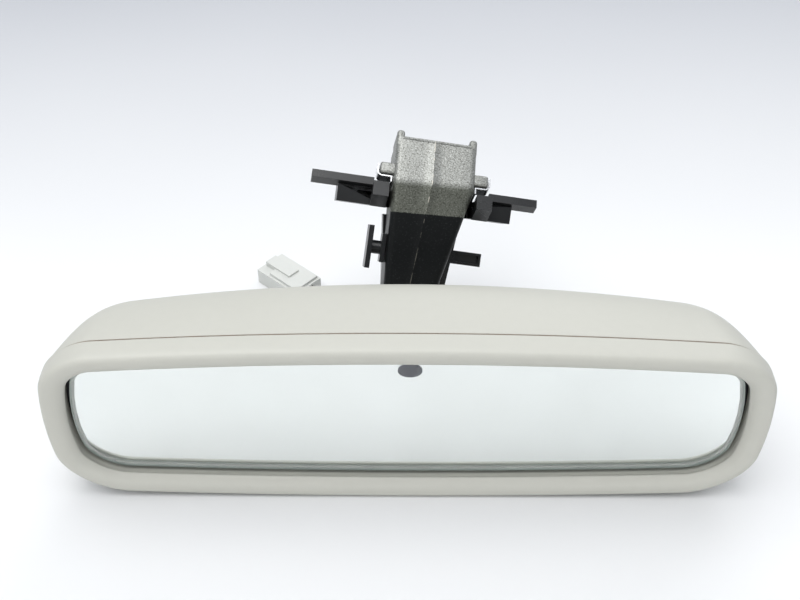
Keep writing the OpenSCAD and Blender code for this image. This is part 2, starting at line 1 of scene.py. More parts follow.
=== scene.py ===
"""Looks of an interior rearview mirror that stands on its lower edge.

Shapes are worked out in millimetres in the frame's axes and put into the meshes in metres.
The head faces -Y. The cast arm leans back from the ball joint behind the head.
"""
import math
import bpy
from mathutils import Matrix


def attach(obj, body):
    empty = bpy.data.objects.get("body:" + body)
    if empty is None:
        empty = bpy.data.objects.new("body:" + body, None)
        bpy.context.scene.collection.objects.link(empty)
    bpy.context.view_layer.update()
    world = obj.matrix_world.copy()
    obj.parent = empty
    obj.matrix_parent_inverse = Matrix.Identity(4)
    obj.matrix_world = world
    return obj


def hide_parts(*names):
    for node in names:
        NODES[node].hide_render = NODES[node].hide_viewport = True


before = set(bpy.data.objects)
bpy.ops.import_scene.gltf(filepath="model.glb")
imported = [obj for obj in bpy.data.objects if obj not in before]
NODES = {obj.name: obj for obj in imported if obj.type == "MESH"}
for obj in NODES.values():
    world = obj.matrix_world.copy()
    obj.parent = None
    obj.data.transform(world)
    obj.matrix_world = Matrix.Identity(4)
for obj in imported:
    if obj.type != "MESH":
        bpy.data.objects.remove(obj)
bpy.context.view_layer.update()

from types import SimpleNamespace

import bmesh
import bpy
import numpy as np
from mathutils import Matrix, Vector

MM = 0.001
# Edges between faces that meet at more than this angle, in degrees, stay crisp.
CRISP = 38

# ---- Driving dimensions, in millimetres, the same as the frame's ----

# Head
HEAD_W = 252.6
HEAD_H = 75.6
HALF_W = HEAD_W / 2
FRONT_Y = -54.4
MID_Z = 36
BEZEL_D = 9.2
RIM_W = 8.3
WALL_T = 2.2
SEAM = 0.3
HOUSING_Y = BEZEL_D + SEAM
HOUSING_D = 36
SHELL_STEP = 0.6
TOP_R = 17
BOTTOM_R = 22
TOP_CROWN = 5.3
BOTTOM_CROWN = 3.2
BACK_CROWN = 10.4
END_LEAN = 4.4
END_TAPER = 15

# Glass, at depths behind the front of the bezel. The panes are kept a hair clear of the gel.
GLASS_Y = 5.2
GLASS_T = 1.9
GEL_T = 0.3
HAIR = 0.02
MIRROR_Y = GLASS_Y + GLASS_T + GEL_T
CARRIER_Y = MIRROR_Y + GLASS_T + 1.1

# Ball joint, and the openings in the back of the housing as x and z
BALL = np.array([0, FRONT_Y + 38, 37])
SOCKET_HOLE_R = 13
GROMMET_AT = (-34, 24)
GROMMET_HOLE_R = 3.4
PIPE_AT = (30, 50)
PIPE_HOLE_R = 3.6

# Stud, arm and foot, with slopes in degrees and heights up the arm from the stud
MOUNT_ROLL = 9.7
STUD_SLOPE = 10
STUD_LEN = 24
STUD_SEAT = STUD_LEN - 7.5
STUD_BOSS_R = 8.2
STUD_BOSS_LEN = 10.4
STUD_BORE_R = 3.55
NUT_BORE_R = 7.6
ARM_SLOPE = 52
ARM_LEN = 47
ARM_D = 15
ARM_FRONT = 8
ARM_WALL = 2.6
FACE_ROUND = 2.3
ROOT_L = 11
ROOT_R = 7.6
FOOT_SLOPE = 26
FOOT_LEN = 19
FOOT_D = 17
FOOT_W = 31.2
FOOT_X = 2.6
FOOT_WALL = 3
FOOT_ROUND = 1.6
FOOT_END = ARM_LEN + FOOT_LEN
BEND = ARM_SLOPE - FOOT_SLOPE
FLARE_L = (FOOT_W / 2 - FOOT_X - ROOT_L) / ARM_LEN
FLARE_R = (FOOT_W / 2 + FOOT_X - ROOT_R) / ARM_LEN
HORN_T = 3
HORN_RISE = 2.2
LUG_LEN = 5.2
LUG_Y = (1.5, 8.5)
LUG_Z = (2.5, 7)
COVER_SCREW_Z = (22, 30)
SCREW_BOSS_R = 3.4
SCREW_BORE_R = 1.45

# Where the black paint ends and how far that line slants, and the ridge's x at the stud and at the bend
PAINT_Z = 34.9
PAINT_SLANT = 0.053
RIDGE_X = (-2.12, 1.8)

# Lead
LEAD_D = 3.4

# The lead's route from the grommet to the connector, on the table from its eighth point.
LEAD_ROUTE = np.array([
    [-34, -2.4, 24], [-34, 1.6, 23.6], [-33.8, 6.6, 21.5], [-33, 11.1, 17], [-31.5, 14.6, 11],
    [-29, 18.1, 5.5], [-25, 22.1, 2.4], [-19, 26.1, 1.8], [-11, 29.1, 1.8], [-2, 30.1, 1.8],
    [7, 29.1, 1.8], [15, 27.1, 1.8], [22.5, 28.1, 1.8], [27, 33.6, 1.8], [27, 40.6, 1.8],
    [22, 46.1, 1.8], [14, 48.1, 1.8], [5, 47.1, 1.8], [-4, 44.6, 1.8], [-13, 42.6, 1.8],
    [-22, 42.6, 1.8], [-30, 45.4, 1.9], [-37, 50.5, 2.8], [-44.1, 57, 4]])


# ---- Camera ----

def add_camera():
    """A 50 mm lens in front of the head, looking down at it by 42 degrees."""
    lens = bpy.data.cameras.new("camera")
    lens.lens = 50
    lens.sensor_width = 36
    camera = bpy.data.objects.new("camera", lens)
    camera.location = (-0.0026, -0.3104, 0.329)
    camera.rotation_euler = (math.radians(48), 0, 0)
    camera.rotation_euler.rotate_axis("Z", math.radians(0.2))
    bpy.context.scene.collection.objects.link(camera)
    bpy.context.scene.camera = camera


# ---- Meshes from grids ----

def grid_faces(rows, cols, close_rows=False):
    """Quads between neighbouring points of rings that are numbered ring by ring."""
    i = np.arange(rows if close_rows else rows - 1)[:, None]
    j = np.arange(cols)[None, :]
    below = (i + 1) % rows
    beside = (j + 1) % cols
    quads = [i * cols + j, i * cols + beside, below * cols + beside, below * cols + j]
    return np.stack([np.broadcast_to(q, (i.size, j.size)) for q in quads], -1).reshape(-1, 4).tolist()


def finish_mesh(mesh, sharp=CRISP):
    """Smooth shading, with edges sharper than the given angle kept crisp."""
    mesh.shade_smooth()
    mesh.set_sharp_from_angle(angle=math.radians(sharp))


def solid(name, points, faces, sharp=CRISP):
    """A closed piece from points in millimetres, with its doubles merged and its faces outwards."""
    mesh = bpy.data.meshes.new(name)
    mesh.from_pydata((np.asarray(points).reshape(-1, 3) * MM).tolist(), [], faces)
    shape = bmesh.new()
    shape.from_mesh(mesh)
    bmesh.ops.remove_doubles(shape, verts=shape.verts, dist=1e-6)
    bmesh.ops.recalc_face_normals(shape, faces=shape.faces)
    shape.to_mesh(mesh)
    shape.free()
    finish_mesh(mesh, sharp)
    piece = bpy.data.objects.new(name, mesh)
    bpy.context.scene.collection.objects.link(piece)
    return piece


def loft(name, rings, closed=False, sharp=CRISP):
    """Skins rings of equal length. An open stack is capped at both ends, a closed one joins up."""
    rings = np.asarray(rings, float)
    rows, cols = rings.shape[:2]
    faces = grid_faces(rows, cols, close_rows=closed)
    if not closed:
        faces += [list(range(cols)), list(range((rows - 1) * cols, rows * cols))]
    return solid(name, rings, faces, sharp)


def rod(base, axis, radius, length):
    """A tool in the shape of a straight cylinder: a circle carried along its axis."""
    axis = np.asarray(axis, float) / np.linalg.norm(axis)
    side = np.cross(axis, [0.31, 0.17, 0.93])
    side /= np.linalg.norm(side)
    a = np.linspace(0, 2 * np.pi, 72, endpoint=False)[:, None]
    circle = radius * (np.cos(a) * side + np.sin(a) * np.cross(axis, side))
    return loft("tool", [np.asarray(base) + circle, np.asarray(base) + circle + length * axis])


def carve(piece, tools, operation):
    """Joins the tools to the piece, or cuts them from it, and removes them."""
    for tool in tools:
        change = piece.modifiers.new("carve", "BOOLEAN")
        change.object = tool
        change.operation = operation
        change.solver = "EXACT"
    seen = piece.evaluated_get(bpy.context.evaluated_depsgraph_get())
    mesh = bpy.data.meshes.new_from_object(seen)
    piece.modifiers.clear()
    piece.data = mesh
    for tool in tools:
        bpy.data.objects.remove(tool)
    finish_mesh(mesh)
    return piece


def eased_copy(name, node, radius, segments=3):
    """A CAD node's own shape with its flat faces made whole, its stored normals dropped and its edges
    rounded by a bevel."""
    shape = bmesh.new()
    shape.from_mesh(NODES[node].data)
    bmesh.ops.remove_doubles(shape, verts=shape.verts, dist=1e-6)
    bmesh.ops.dissolve_limit(shape, angle_limit=math.radians(2), verts=shape.verts, edges=shape.edges)
    for layer in list(shape.loops.layers.float_vector):
        shape.loops.layers.float_vector.remove(layer)
    mesh = bpy.data.meshes.new(name)
    shape.to_mesh(mesh)
    shape.free()
    finish_mesh(mesh)
    piece = bpy.data.objects.new(name, mesh)
    bpy.context.scene.collection.objects.link(piece)
    bevel = piece.modifiers.new("eased_edges", "BEVEL")
    bevel.width = radius * MM
    bevel.segments = segments
    bevel.limit_method = "ANGLE"
    bevel.angle_limit = math.radians(35)
    bevel.harden_normals = True
    return piece


def corner(cx, cz, r, start):
    """A quarter circle in twenty points from the start angle."""
    a = np.radians(start + np.linspace(0, 90, 20))
    return np.stack([cx + r * np.cos(a), cz + r * np.sin(a)], -1)


def rounded(a, top, bottom, rt, rb):
    """A rectangle of half width a with round corners, anticlockwise from the right end of its upper
    right corner. Its sides are split so that they can be bent afterwards."""
    corners = [corner(a - rt, top - rt, rt, 0), corner(-a + rt, top - rt, rt, 90),
               corner(-a + rb, bottom + rb, rb, 180), corner(a - rb, bottom + rb, rb, 270)]
    loop = []
    for i, steps in enumerate([56, 12, 56, 12]):
        following = corners[(i + 1) % 4]
        loop += [corners[i], np.linspace(corners[i][-1], following[0], steps + 1)[1:-1]]
    return np.concatenate(loop)


def crowned(p, top, bottom, crown_top, crown_bottom):
    """Crowns the long edges and leans the ends in, both in proportion to the height off the middle."""
    x, z = p[:, 0], p[:, 1]
    upper = z >= MID_Z
    s = np.where(upper, (z - MID_Z) / (top - MID_Z), (MID_Z - z) / (MID_Z - bottom))
    bend = x * x / HALF_W ** 2 * s
    z = np.where(upper, z - crown_top * bend, z + crown_bottom * bend)
    return np.stack([x * (1 - END_LEAN / HALF_W * s * s), z], -1)


def rim(inset):
    """Outline of the head, moved inwards by the inset."""
    top = HEAD_H - inset
    loop = rounded(HALF_W - inset, top, inset, max(TOP_R - inset, 2), max(BOTTOM_R - inset, 2))
    return crowned(loop, top, inset, TOP_CROWN, BOTTOM_CROWN)


def full(t, p):
    """Fullness of a section at the fraction t of the depth: a superellipse of power p, which is 1 in front
    and 0 at the very back."""
    return (1 - t ** p) ** (1 / p)


def shell_ring(t, inset):
    """Outline of the housing at the fraction t of its depth, moved inwards by the inset. The ends, the top
    and the bottom each close in along a superellipse of their own."""
    a = (HALF_W - SHELL_STEP - END_TAPER * t) * full(t, 6) - inset
    top = HEAD_H / 2 + (HEAD_H / 2 - 0.2) * full(t, 4.3) - inset
    bottom = HEAD_H / 2 - HEAD_H / 2 * full(t, 8) + inset
    loop = rounded(a, top, bottom, TOP_R * (1 - 0.6 * t) - inset, BOTTOM_R * (1 - 0.4 * t) - inset)
    return crowned(loop, top, bottom, TOP_CROWN + BACK_CROWN * t ** 1.5, BOTTOM_CROWN)


def standing(outline, depth):
    """An outline in X and Z, set at a depth behind the front of the bezel."""
    return np.stack([outline[:, 0], np.full(len(outline), FRONT_Y + depth), outline[:, 1]], -1)


def softened(profile):
    """A closed profile with its corners cut at a quarter of each side, twice over."""
    p = np.asarray(profile, float)
    for _ in range(2):
        q = np.roll(p, -1, axis=0)
        p = np.stack([0.75 * p + 0.25 * q, 0.25 * p + 0.75 * q], 1).reshape(-1, 2)
    return p


# ---- Head ----

def bezel():
    """The rim's section as distance inwards and depth: over the rounded front to the lip, back along the
    skirt round the glass, and out to the wall. Its corners are softened, and it is carried round the
    head's outline."""
    back = CARRIER_Y - 0.3
    inner = WALL_T + 0.2
    section = [[0.3, BEZEL_D], [0, BEZEL_D - 0.6], [0, 3], [0.25, 1.4], [0.9, 0.45], [2.2, 0], [4.4, 0.1],
               [RIM_W - 2.1, 0.75], [RIM_W - 0.8, 1.8], [RIM_W, 2.8], [RIM_W, 3.5], [RIM_W - 0.8, 3.9],
               [RIM_W - 0.8, back], [RIM_W - 2, back], [RIM_W - 2, 4.8], [inner, 4.2], [inner, BEZEL_D]]
    return loft("bezel_shell", [standing(rim(i), d) for i, d in softened(section)], closed=True, sharp=60)


def housing():
    """A shell whose outline shrinks to the back, as one run of rings: forward along its inner wall, round
    the tongue that reaches into the bezel, and back along its outer wall."""
    # The rings crowd towards the back, where the outline shrinks fastest.
    rise = np.linspace(0, 1, 46)[:-1]
    outer = np.sin(np.pi / 2 * rise ** 3) ** (1 / 3)
    inner = outer[outer < 0.975][::-3]
    inside = [standing(shell_ring(t, WALL_T), HOUSING_Y + t * (HOUSING_D - WALL_T)) for t in inner]
    tongue = [standing(rim(WALL_T + inset), depth) for inset, depth in
              [(2.4, HOUSING_Y + 1.4), (2.4, BEZEL_D - 3), (0.6, BEZEL_D - 3), (0.6, HOUSING_Y)]]
    outside = [standing(shell_ring(0, 0.25), HOUSING_Y), standing(shell_ring(0.006, 0.05), HOUSING_Y + 0.2)]
    outside += [standing(shell_ring(t, 0), HOUSING_Y + t * HOUSING_D) for t in outer if t > 0.015]
    shell = loft("housing_shell", inside + tongue + outside)
    holes = [(0, BALL[2], SOCKET_HOLE_R), (*GROMMET_AT, GROMMET_HOLE_R), (*PIPE_AT, PIPE_HOLE_R)]
    inside_y = FRONT_Y + 39
    tools = [rod((x, inside_y, z), (0, 1, 0), r, 20) for x, z, r in holes]
    return carve(shell, tools, "DIFFERENCE")


def pane(name, inset, front, back, bevel):
    """A glass pane with ground edges: its outline steps in by the bevel at both faces."""
    steps = [(bevel, front), (0, front + bevel), (0, back - bevel), (bevel, back)]
    return loft(name, [standing(rim(inset + more), depth) for more, depth in steps], sharp=25)


def grind(piece, edge):
    """Gives every face of a pane that doesn't look along Y the ground finish."""
    piece.data.materials.append(edge)
    normals = np.empty(3 * len(piece.data.polygons))
    piece.data.polygons.foreach_get("normal", normals)
    piece.data.polygons.foreach_set("material_index", (np.abs(normals[1::3]) < 0.9).astype(np.int32))


# ---- Cast arm ----

def turned(axis, degrees):
    """A rotation about one axis, as an array."""
    return np.array(Matrix.Rotation(math.radians(degrees), 3, axis))


# How the mount's parts are turned, and where the arm and the foot start
MOUNT_TURN = turned("Y", MOUNT_ROLL)
STUD_AXIS = MOUNT_TURN @ turned("X", STUD_SLOPE) @ np.array([0, 1, 0])
ARM_TURN = MOUNT_TURN @ turned("X", ARM_SLOPE - 90)
ARM_AT = BALL + STUD_LEN * STUD_AXIS
FOOT_TURN = ARM_TURN @ turned("X", -BEND)
FOOT_AT = ARM_AT + ARM_TURN @ np.array([FOOT_X, -ARM_FRONT, ARM_LEN])
BEND_COS = math.cos(math.radians(BEND))
BEND_SIN = math.sin(math.radians(BEND))
# Where the backs of the arm and the foot meet, as a height up the foot and as one up the arm's back
BACK_START = (ARM_D - FOOT_D * BEND_COS) / BEND_SIN
BACK_BEND = ARM_LEN - FOOT_D * BEND_SIN + BACK_START * BEND_COS


def on_stud(distance):
    """The point on the stud's axis at a distance from the ball's centre."""
    return BALL + distance * STUD_AXIS


def on_arm(y, z):
    """The point in the arm's middle plane at y behind the stud's axis and z up the arm."""
    return ARM_AT + ARM_TURN @ np.array([0, y, z])


def bent_line(start, h, corner_at, soften):
    """A line up the arm that turns by the bend at corner_at, softened over a short stretch each way."""
    fine = np.linspace(0, h.max(), 800)
    angle = np.radians(BEND) * np.clip((fine - corner_at + soften) / (2 * soften), 0, 1)
    step = np.diff(fine, prepend=0)
    y = start + np.cumsum(step * np.sin(angle))
    z = np.cumsum(step * np.cos(angle))
    below = np.minimum(h, 0)
    return np.interp(h, fine, y), np.interp(h, fine, z) + below


def front_and_back(h):
    """The front line and the back line of the arm at the height h, as y and z in the arm's plane. Heights
    on the back are scaled so that both lines bend at the same h and end at the same h."""
    front_y, front_z = bent_line(-ARM_FRONT, h, ARM_LEN, soften=2.6)
    up_foot = BACK_BEND + (h - ARM_LEN) * (FOOT_LEN - BACK_START) / FOOT_LEN
    back_h = np.where(h > ARM_LEN, up_foot, np.where(h < 0, h, h * BACK_BEND / ARM_LEN))
    back_y, back_z = bent_line(ARM_D - ARM_FRONT, back_h, BACK_BEND, soften=1.2)
    return front_y, front_z, back_y, back_z


def arm_points(x, h, depth):
    """Points of the arm: x across, h up its front from the stud, depth in millimetres behind the front.
    The front line and the back line both bend to the foot, and depth runs straight between them."""
    x, h, depth = np.broadcast_arrays(x, h, depth)
    front_y, front_z, back_y, back_z = front_and_back(h)
    q = depth / np.hypot(back_y - front_y, back_z - front_z)
    local = np.stack([x, front_y + q * (back_y - front_y), front_z + q * (back_z - front_z)], -1)
    return local @ ARM_TURN.T + ARM_AT


def arm_depth(h):
    """Depth from the front line to the back line at the height h."""
    front_y, front_z, back_y, back_z = front_and_back(h)
    return np.hypot(back_y - front_y, back_z - front_z)


def arm_sides():
    """Right and left flank from the round lower end to the foot's end, as x, h and the outward normal."""
    low = np.radians(np.linspace(-86, 0, 14))
    h = np.concatenate([np.linspace(0, ARM_LEN - 4, 30)[1:], np.linspace(ARM_LEN - 3.5, ARM_LEN + 4, 16),
                        np.linspace(ARM_LEN + 5, FOOT_END - FOOT_ROUND, 12)])
    cap = np.radians(np.linspace(0, 90, 7))
    flank = np.minimum(h, ARM_LEN)
    half = (ROOT_R + ROOT_L) / 2
    sides = []
    for sign, root, flare in [(1, ROOT_R, FLARE_R), (-1, ROOT_L, FLARE_L)]:
        cap_x = root + flare * ARM_LEN - FOOT_ROUND + FOOT_ROUND * np.cos(cap)
        x = np.concatenate([sign * half * np.cos(low) + (ROOT_R - ROOT_L) / 2, sign * (root + flare * flank),
                            sign * cap_x])
        z = np.concatenate([half * np.sin(low), h, FOOT_END - FOOT_ROUND + FOOT_ROUND * np.sin(cap)])
        nx = sign * np.concatenate([np.cos(low), np.ones_like(h), np.cos(cap)])
        nz = np.concatenate([np.sin(low), np.zeros_like(h), np.sin(cap)])
        sides.append((x, z, nx, nz))
    return sides


def ridge_height(h):
    """Height of the casting ridge: it wanders, stands higher from just under the bend, and stops short of
    both ends."""
    wander = np.random.default_rng(7).normal(0, 1, len(h))
    height = np.where(h > ARM_LEN - 9, 0.13 + 0.05 * wander, 0.07 + 0.02 * wander).clip(0.03, 0.3)
    return height * (h > 4) * (h < FOOT_END - 2.4)


def strip(rows):
    """Quads between neighbouring rows of a table of point numbers."""
    return np.stack([rows[:-1, :-1], rows[1:, :-1], rows[1:, 1:], rows[:-1, 1:]], -1).reshape(-1, 4).tolist()


def arm_casting():
    """The arm and foot as a solid plate whose edge is rounded in front, with the casting ridge up its face.
    The skin runs round the edge, the face closes it in front, and flat quads close it behind."""
    right, left = arm_sides()
    x, h, nx, nh = (np.concatenate([r, l[::-1]]) for r, l in zip(right, left))
    a = np.radians(np.linspace(0, 90, 8))
    back = arm_depth(h)
    steps = [(FACE_ROUND * (1 - s), FACE_ROUND * (1 - c)) for s, c in zip(np.sin(a), np.cos(a))]
    steps += [(0, back - 0.5), (0.5, back)]
    skin = np.asarray([arm_points(x - inset * nx, h - inset * nh, depth) for inset, depth in steps])
    rows, cols = skin.shape[:2]
    count = len(right[0])
    # Fractions of the way across the face, and which of them carry the ridge
    middle, foot, crest = 0.53, 0.012, 0.004
    across = np.array([0.12, 0.25, 0.38, middle - foot, middle - crest,
                       middle + crest, middle + foot, 0.7, 0.85])
    ridge = np.array([0, 0, 0, 0, 1, 1, 0, 0, 0])
    face_x, face_h = right[0] - FACE_ROUND * right[2], right[1] - FACE_ROUND * right[3]
    far_x = left[0] - FACE_ROUND * left[2]
    face = arm_points(face_x[:, None] + (far_x - face_x)[:, None] * across, face_h[:, None],
                      -ridge_height(face_h)[:, None] * ridge)
    up = np.arange(count)[:, None]
    inner = rows * cols + np.arange(count * len(across)).reshape(count, -1)
    front = np.concatenate([up, inner, cols - 1 - up], 1)
    last = (rows - 1) * cols
    behind = np.concatenate([last + up, last + cols - 1 - up], 1)
    faces = grid_faces(rows, cols) + strip(front) + strip(behind) + [front[0].tolist(), front[-1].tolist()]
    return solid("arm_casting", np.concatenate([skin.reshape(-1, 3), face.reshape(-1, 3)]), faces)


def arm_block(inset, low, high, shallow, depth):
    """A tool that fills the arm's inside between two heights, inset from its flanks, from a shallow depth
    to the arm's own depth changed by the given amount."""
    h = np.linspace(low, high, 24)
    flank = np.minimum(h, ARM_LEN)
    right = ROOT_R + FLARE_R * flank - inset
    left = -ROOT_L - FLARE_L * flank + inset
    deep = arm_depth(h) + depth
    rings = np.stack([arm_points(right, h, shallow), arm_points(left, h, shallow),
                      arm_points(left, h, deep), arm_points(right, h, deep)], 1)
    return loft("tool", rings)


def foot_block(x, y, z, r):
    """A tool on the foot in the shape of a block with round edges, between two values on each axis.
    The eight octants of a small sphere are pulled apart to its corners."""
    low, high = (np.array(ends, float) for ends in zip(sorted(x), y, z))
    middle, reach = (low + high) / 2, (high - low) / 2 - r
    n = 5
    q = np.radians(np.linspace(0, 90, n))
    a = np.concatenate([q + k * np.pi / 2 for k in range(4)])[None, :]
    east = np.repeat([1, -1, -1, 1], n)[None, :]
    north = np.repeat([1, 1, -1, -1], n)[None, :]
    b = np.concatenate([q - np.pi / 2, q])[:, None]
    up = np.repeat([-1, 1], n)[:, None]
    points = np.stack(np.broadcast_arrays(
        middle[0] + r * np.cos(a) * np.cos(b) + east * reach[0],
        middle[1] + r * np.sin(a) * np.cos(b) + north * reach[1],
        middle[2] + r * np.sin(b) + up * reach[2]), -1)
    return loft("tool", points @ FOOT_TURN.T + FOOT_AT)


def mount_casting():
    """The whole casting: the hollowed arm and foot, the boss round the stud, the horns, the lugs, and the
    bosses of the cover's screws, with the bores for the stud, its nut and the screws."""
    casting = arm_casting()
    hollow = [arm_block(ARM_WALL, 8, ARM_LEN - 4, ARM_WALL, 3),
              arm_block(FOOT_WALL, ARM_LEN - 6, FOOT_END - FOOT_WALL, FOOT_WALL, -FOOT_WALL)]
    carve(casting, hollow, "DIFFERENCE")
    added = [rod(on_stud(STUD_SEAT), STUD_AXIS, STUD_BOSS_R, STUD_BOSS_LEN)]
    half = FOOT_W / 2
    for s in (-1, 1):
        added.append(foot_block((s * half, s * (half - HORN_T)), (0.3, FOOT_D - 4),
                                (FOOT_LEN - 5, FOOT_LEN + HORN_RISE), 1.2))
        added.append(foot_block((s * (half + LUG_LEN), s * (half - 2)), LUG_Y, LUG_Z, 0.9))
    into_arm = ARM_TURN[:, 1]
    for z in COVER_SCREW_Z:
        added.append(rod(on_arm(1.5 - ARM_FRONT, z), into_arm, SCREW_BOSS_R, ARM_D - 1.55))
    carve(casting, added, "UNION")
    # Room for the ball in front of the boss, the stud's bore, and the room behind it for the nut
    bores = [rod(on_stud(STUD_SEAT - 20), STUD_AXIS, 24, 20),
             rod(on_stud(STUD_LEN - 20), STUD_AXIS, STUD_BORE_R, 40),
             rod(on_stud(STUD_LEN + 3), STUD_AXIS, NUT_BORE_R, 14)]
    bores += [rod(on_arm(0, z), into_arm, SCREW_BORE_R, ARM_D) for z in COVER_SCREW_Z]
    return carve(casting, bores, "DIFFERENCE")


# ---- Lead ----

def smooth_route(route):
    """A curve through every point of the route, with eight steps to a stretch. Each stretch is a cubic
    whose ends take the direction of the neighbours."""
    p = np.concatenate([[2 * route[0] - route[1]], route, [2 * route[-1] - route[-2]]])
    t = np.linspace(0, 1, 8, endpoint=False)[None, :, None]
    a, b, c, d = (p[k:len(p) - 3 + k, None, :] for k in range(4))
    curve = 0.5 * (2 * b + (c - a) * t + (2 * a - 5 * b + 4 * c - d) * t ** 2
                   + (3 * b - a - 3 * c + d) * t ** 3)
    return np.concatenate([curve.reshape(-1, 3), route[-1:]])


def lead_tube(path):
    """A round jacket: a circle carried along the route, square to it everywhere."""
    along = np.gradient(path, axis=0)
    along /= np.linalg.norm(along, axis=1)[:, None]
    side = np.cross(along, [0, 0, 1])
    side /= np.linalg.norm(side, axis=1)[:, None]
    a = np.linspace(0, 2 * np.pi, 20, endpoint=False)[None, :, None]
    ring = LEAD_D / 2 * (np.cos(a) * side[:, None] + np.sin(a) * np.cross(side, along)[:, None])
    return loft("lead_jacket", path[:, None] + ring)


# ---- Shared shader effects ----

def new_group(name, inputs, outputs):
    """An empty shader node group with named sockets, given as (name, type, default)."""
    group = bpy.data.node_groups.new(name, "ShaderNodeTree")
    for label, kind, value in inputs:
        socket = group.interface.new_socket(name=label, in_out="INPUT", socket_type=kind)
        socket.default_value = value
    for label, kind in outputs:
        group.interface.new_socket(name=label, in_out="OUTPUT", socket_type=kind)
    return group, group.nodes.new("NodeGroupInput"), group.nodes.new("NodeGroupOutput")


def fill(tree, node, values):
    """Sets a node's inputs by name or number, or links them where the value is another node's output."""
    for key, value in values.items():
        if isinstance(value, bpy.types.NodeSocket):
            tree.links.new(value, node.inputs[key])
        else:
            node.inputs[key].default_value = value


def add(tree, kind, values=None, **settings):
    """Adds a node, sets its properties and fills its inputs."""
    node = tree.nodes.new(kind)
    for key, value in settings.items():
        setattr(node, key, value)
    fill(tree, node, values or {})
    return node


def mix_colour(tree, factor, first, second, blend="MIX"):
    """The colour between two, by the factor."""
    node = add(tree, "ShaderNodeMix", data_type="RGBA", blend_type=blend)
    fill(tree, node, {0: factor, 6: first, 7: second})
    return node.outputs[2]


def calc(tree, operation, *terms):
    """The result of a maths node."""
    return add(tree, "ShaderNodeMath", dict(enumerate(terms)), operation=operation).outputs[0]


def noise(tree, place, scale, detail=2.0):
    """The value of a noise texture."""
    return add(tree, "ShaderNodeTexNoise", {"Vector": place, "Scale": scale, "Detail": detail}).outputs[0]


def y_of(tree, place):
    """The second coordinate of a place."""
    return add(tree, "ShaderNodeSeparateXYZ", {0: place}).outputs[1]


def reach_along(tree, place, direction):
    """How far a place lies along a direction, in metres."""
    return add(tree, "ShaderNodeVectorMath", {0: place, 1: tuple(direction)},
               operation="DOT_PRODUCT").outputs["Value"]


def ramp(tree, value, low, high, out_low=0.0, out_high=1.0):
    """Maps a value from one range to another and holds it at the ends."""
    return add(tree, "ShaderNodeMapRange", {"Value": value, "From Min": low, "From Max": high,
                                            "To Min": out_low, "To Max": out_high}).outputs[0]


def tone_group():
    """Slow drift of a colour over the piece, with a fainter, finer mottle."""
    group, given, result = new_group(
        "tone_drift",
        [("Color", "NodeSocketColor", (0.5, 0.5, 0.5, 1)), ("Vector", "NodeSocketVector", (0, 0, 0)),
         ("Scale", "NodeSocketFloat", 30.0), ("Amount", "NodeSocketFloat", 0.06)],
        [("Color", "NodeSocketColor"), ("Mask", "NodeSocketFloat")])
    place, scale = given.outputs["Vector"], given.outputs["Scale"]
    slow = noise(group, place, scale, 3.0)
    fine = noise(group, place, calc(group, "MULTIPLY", scale, 14.0))
    centred = calc(group, "SUBTRACT", calc(group, "ADD", slow, fine), 1.0)
    gain = calc(group, "ADD", calc(group, "MULTIPLY", centred, given.outputs["Amount"]), 1.0)
    grey = add(group, "ShaderNodeCombineXYZ", {0: gain, 1: gain, 2: gain}).outputs[0]
    colour = mix_colour(group, 1.0, given.outputs["Color"], grey, "MULTIPLY")
    fill(group, result, {"Color": colour, "Mask": slow})
    return group


def grain_group():
    """Moulded grain: fine pebbles broken up by a softer noise."""
    group, given, result = new_group(
        "moulded_grain", [("Vector", "NodeSocketVector", (0, 0, 0)), ("Scale", "NodeSocketFloat", 1500.0)],
        [("Height", "NodeSocketFloat")])
    place, scale = given.outputs["Vector"], given.outputs["Scale"]
    pebble = add(group, "ShaderNodeTexVoronoi", {"Vector": place, "Scale": scale}, feature="SMOOTH_F1")
    fill(group, result, {"Height": calc(group, "ADD", pebble.outputs[0], noise(group, place, scale))})
    return group


TONE = tone_group()
GRAIN = grain_group()


def new_material(name):
    """A material with a Principled shader and its object coordinates."""
    material = bpy.data.materials.new(name)
    material.use_nodes = True
    tree = material.node_tree
    tree.nodes.clear()
    shader = tree.nodes.new("ShaderNodeBsdfPrincipled")
    output = tree.nodes.new("ShaderNodeOutputMaterial")
    tree.links.new(shader.outputs[0], output.inputs[0])
    place = tree.nodes.new("ShaderNodeTexCoord").outputs["Object"]
    return material, tree, shader, place


def layered(name, colour, rough, metallic=0.0, drift=0.06, drift_scale=30, grain=1500, depth=0.00002,
            rough_swing=0.08):
    """The nodes of a moulded, painted or metal finish: drifting tone, uneven gloss, and grain in the bump.
    The drift and the grain are in cycles per metre, and the depth of the grain is in metres."""
    material, tree, shader, place = new_material(name)
    tone = add(tree, "ShaderNodeGroup", {"Color": (*colour, 1), "Vector": place, "Scale": drift_scale,
                                         "Amount": drift}, node_tree=TONE)
    gloss = ramp(tree, tone.outputs["Mask"], 0.3, 0.7, max(rough - rough_swing, 0.02), rough + rough_swing)
    pebbles = add(tree, "ShaderNodeGroup", {"Vector": place, "Scale": grain}, node_tree=GRAIN)
    bump = add(tree, "ShaderNodeBump", {"Height": pebbles.outputs["Height"], "Distance": depth,
                                        "Strength": 0.6})
    fill(tree, shader, {"Base Color": tone.outputs["Color"], "Roughness": gloss, "Normal": bump.outputs[0]})
    shader.inputs["Metallic"].default_value = metallic
    return SimpleNamespace(material=material, tree=tree, shader=shader, place=place,
                           tone=tone.outputs["Color"], bump=bump)


def finish(name, colour, rough, **more):
    """A moulded, painted or metal finish as a material."""
    return layered(name, colour, rough, **more).material


